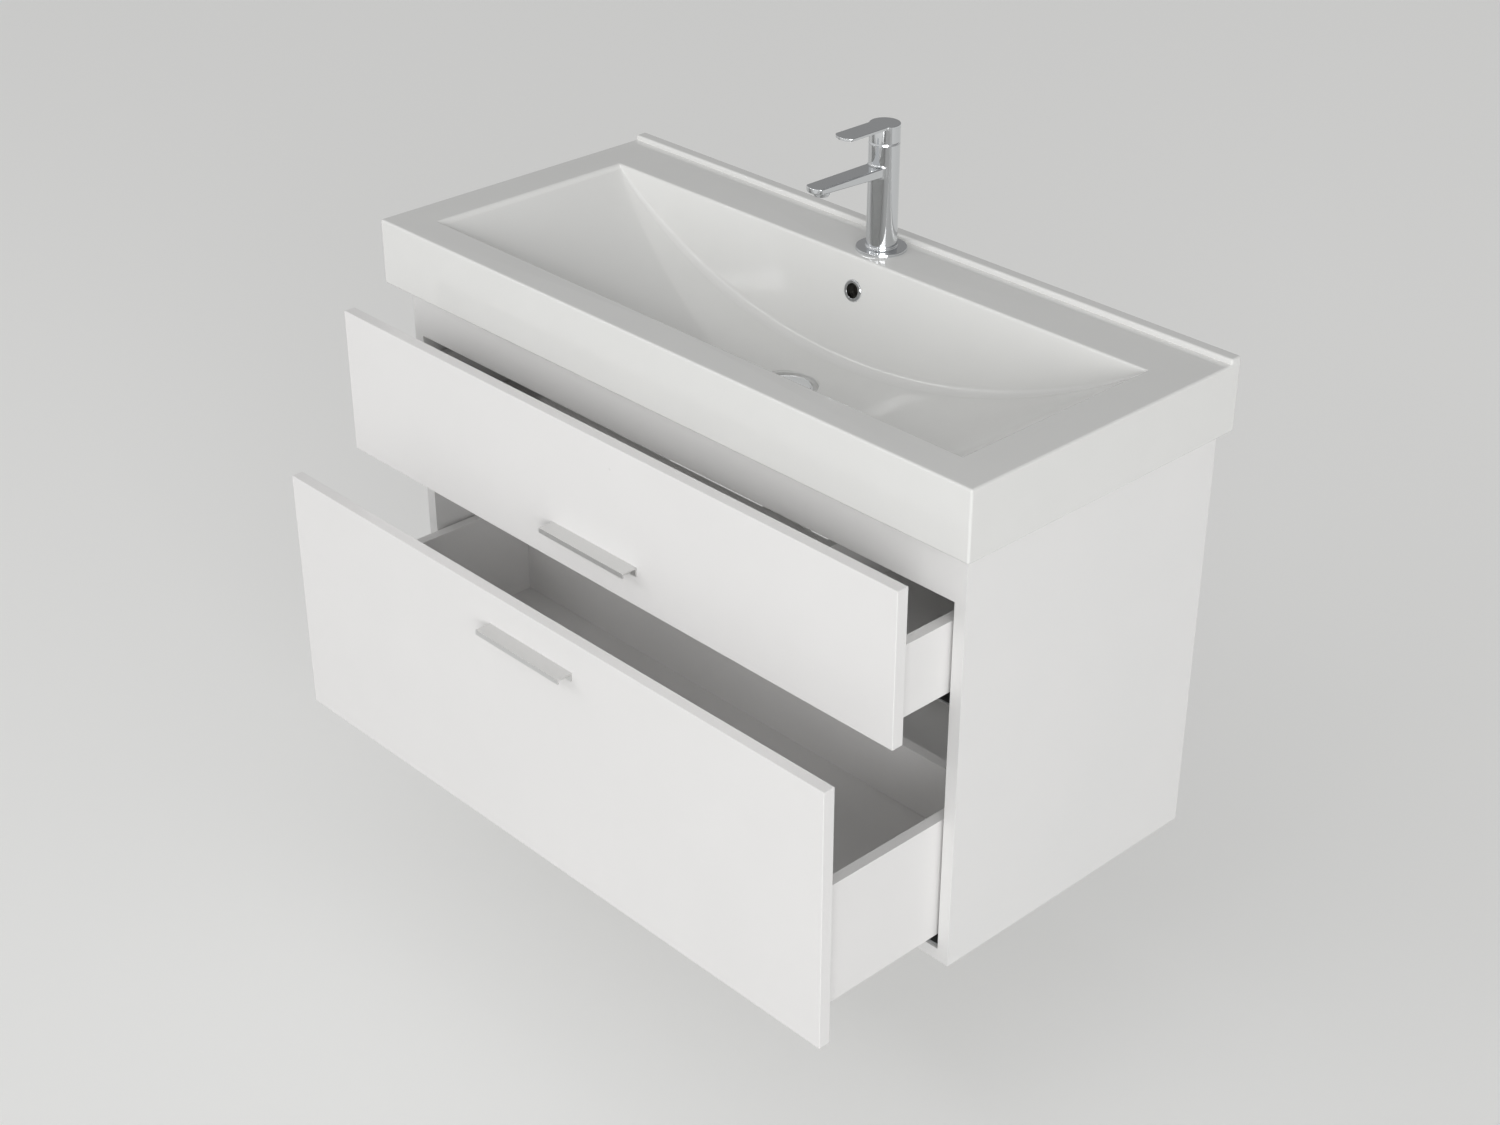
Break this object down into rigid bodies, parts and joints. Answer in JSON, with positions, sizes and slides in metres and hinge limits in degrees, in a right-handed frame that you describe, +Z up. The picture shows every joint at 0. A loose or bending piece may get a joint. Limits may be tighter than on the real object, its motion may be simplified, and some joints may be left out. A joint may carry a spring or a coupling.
{
  "type": "wall-hung bathroom vanity",
  "caption": "Wall-hung vanity: white drawer cabinet under a rectangular trough washbasin, with a chrome mixer, click waste, bottle trap and slim bar handles.",
  "frame": {"origin": "on the wall plane, at the centre of the rectangle of the four screw holes in the two wall plates", "axes": "+X to the right seen from the room, +Y into the wall, +Z up"},
  "size_m": [1, 0.645, 0.792],
  "materials": {
    "white_board": "satin white foil on chipboard",
    "front_board": "semi-gloss white foil on fibreboard",
    "box_board": "satin white foil on chipboard",
    "beech": "plain beech",
    "zinc_steel": "zinc plated",
    "sealant": "white silicone",
    "basin_gloss": "gloss white",
    "chrome": "polished",
    "rubber": "matt black",
    "white_plastic": "white",
    "grey_plastic": "grey",
    "brass": "plain",
    "satin_aluminium": "satin anodised"
  },
  "bodies": {
    "cabinet": {"left_side_panel": "white_board", "right_side_panel": "white_board", "bottom_panel": "white_board", "front_rail": "white_board", "rear_top_rail": "white_board", "rear_bottom_rail": "white_board", "carcass_dowels": "beech", "cam_locks": "zinc_steel", "cam_bolts": "zinc_steel", "cabinet_hangers": "zinc_steel", "wall_plates": "zinc_steel", "basin_seal": "sealant", "washbasin": "basin_gloss", "overflow_ring": "chrome", "waste_body": "chrome", "drain_seals": "rubber", "waste_nut": "chrome", "trap_inlet_pipe": "white_plastic", "trap_nuts": "white_plastic", "trap_body": "white_plastic", "trap_cup": "white_plastic", "trap_outlet_pipe": "white_plastic", "tap_base_ring": "chrome", "tap_body": "chrome", "tap_aerator": "chrome", "tap_cartridge": "white_plastic", "tap_dome_nut": "chrome", "tap_stud": "brass", "tap_clamp_washer": "zinc_steel", "tap_nut": "brass", "fixing_screws": "zinc_steel", "upper_runner_rails": "zinc_steel", "lower_runner_rails": "zinc_steel"},
    "tap_turret": {"tap_turret": "white_plastic"},
    "tap_lever": {"tap_lever_stem": "brass", "tap_handle": "chrome"},
    "waste_plug": {"waste_plug": "chrome"},
    "upper_middles": {"upper_runner_middles": "zinc_steel"},
    "lower_middles": {"lower_runner_middles": "zinc_steel"},
    "upper_drawer": {"upper_front": "front_board", "upper_left_side": "box_board", "upper_right_side": "box_board", "upper_inner_front": "box_board", "upper_back": "box_board", "upper_cutout": "box_board", "upper_bottom": "box_board", "upper_handle": "satin_aluminium", "upper_screws": "zinc_steel", "upper_runner_slides": "zinc_steel", "upper_runner_clips": "grey_plastic"},
    "lower_drawer": {"lower_front": "front_board", "lower_left_side": "box_board", "lower_right_side": "box_board", "lower_inner_front": "box_board", "lower_back": "box_board", "lower_bottom": "box_board", "lower_handle": "satin_aluminium", "lower_screws": "zinc_steel", "lower_runner_slides": "zinc_steel", "lower_runner_clips": "grey_plastic"}
  },
  "joints": [
    {"name": "upper_drawer_slide", "type": "slide", "parent": "cabinet", "child": "upper_drawer", "axis": [0, -1, 0], "range_m": [-0.088, 0.257]},
    {"name": "lower_drawer_slide", "type": "slide", "parent": "cabinet", "child": "lower_drawer", "axis": [0, -1, 0], "range_m": [-0.188, 0.157]},
    {"name": "upper_middle_slide", "type": "slide", "parent": "cabinet", "child": "upper_middles", "axis": [0, -1, 0], "range_m": [-0.044, 0.1285]},
    {"name": "lower_middle_slide", "type": "slide", "parent": "cabinet", "child": "lower_middles", "axis": [0, -1, 0], "range_m": [-0.094, 0.0785]},
    {"name": "tap_swivel", "type": "hinge", "parent": "cabinet", "child": "tap_turret", "pos_m": [0, -0.054, 0.2654], "axis": [0, 0, 1], "range_deg": [-45, 45]},
    {"name": "tap_lift", "type": "hinge", "parent": "tap_turret", "child": "tap_lever", "pos_m": [0, -0.054, 0.2654], "axis": [-1, 0, 0], "range_deg": [0, 20]},
    {"name": "plug_slide", "type": "slide", "parent": "cabinet", "child": "waste_plug", "axis": [0, 0, 1], "range_m": [0, 0.008]}
  ],
  "couplings": [
    {"joint": "upper_middle_slide", "follows": "upper_drawer_slide", "ratio": 0.5},
    {"joint": "lower_middle_slide", "follows": "lower_drawer_slide", "ratio": 0.5}
  ]
}
